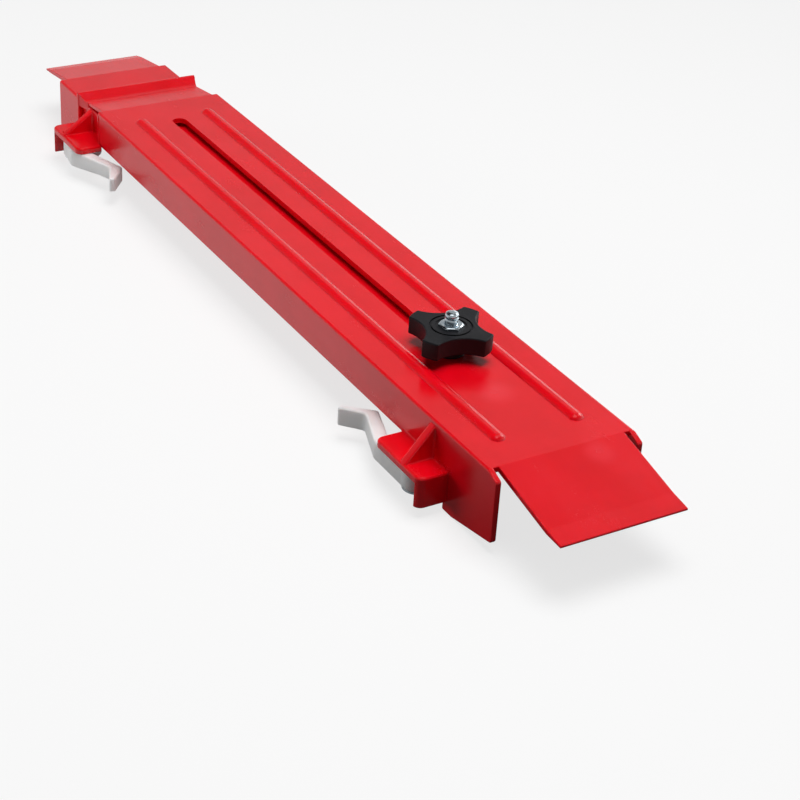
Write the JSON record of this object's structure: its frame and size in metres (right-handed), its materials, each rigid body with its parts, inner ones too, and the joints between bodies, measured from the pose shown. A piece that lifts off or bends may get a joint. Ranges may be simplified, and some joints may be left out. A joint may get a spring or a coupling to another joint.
{
  "type": "ski grip zone cover",
  "caption": "Telescoping plastic cover that clamps over the grip zone of a cross-country ski with cam levers and sets its length with a clamp knob.",
  "frame": {"origin": "on the ski's running surface and centreline, under the front bend of the front cover", "axes": "+X along the ski towards the front flap, +Y across the ski away from the levers, +Z away from the running surface, out through the knob"},
  "size_m": [0.4295, 0.0698, 0.0457],
  "materials": {
    "red_plastic": "glossy injection-moulded red plastic",
    "white_plastic": "semi-gloss white plastic",
    "black_plastic": "satin black plastic",
    "zinc_steel": "bright zinc-plated steel"
  },
  "bodies": {
    "cover": {"front_cover": "red_plastic", "front_lever_washer": "zinc_steel", "front_lever_screw": "zinc_steel"},
    "slider": {"rear_slider": "red_plastic", "rear_lever_washer": "zinc_steel", "rear_lever_screw": "zinc_steel", "clamp_bolt": "zinc_steel"},
    "front_lever": {"front_lever": "white_plastic"},
    "rear_lever": {"rear_lever": "white_plastic"},
    "knob": {"clamp_knob": "black_plastic", "knob_nut": "zinc_steel"}
  },
  "joints": [
    {"name": "slider_slide", "type": "slide", "parent": "cover", "child": "slider", "axis": [-1, 0, 0], "range_m": [0, 0.224]},
    {"name": "front_lever_pivot", "type": "hinge", "parent": "cover", "child": "front_lever", "pos_m": [-0.0335, -0.0335, -0.0112], "axis": [0, 0, 1], "range_deg": [0, 95]},
    {"name": "rear_lever_pivot", "type": "hinge", "parent": "slider", "child": "rear_lever", "pos_m": [-0.3305, -0.0335, -0.0112], "axis": [0, 0, -1], "range_deg": [0, 95]},
    {"name": "knob_turn", "type": "hinge", "parent": "slider", "child": "knob", "pos_m": [-0.0707, 0, 0.0165], "axis": [0, 0, 1], "range_deg": [0, 540]}
  ]
}
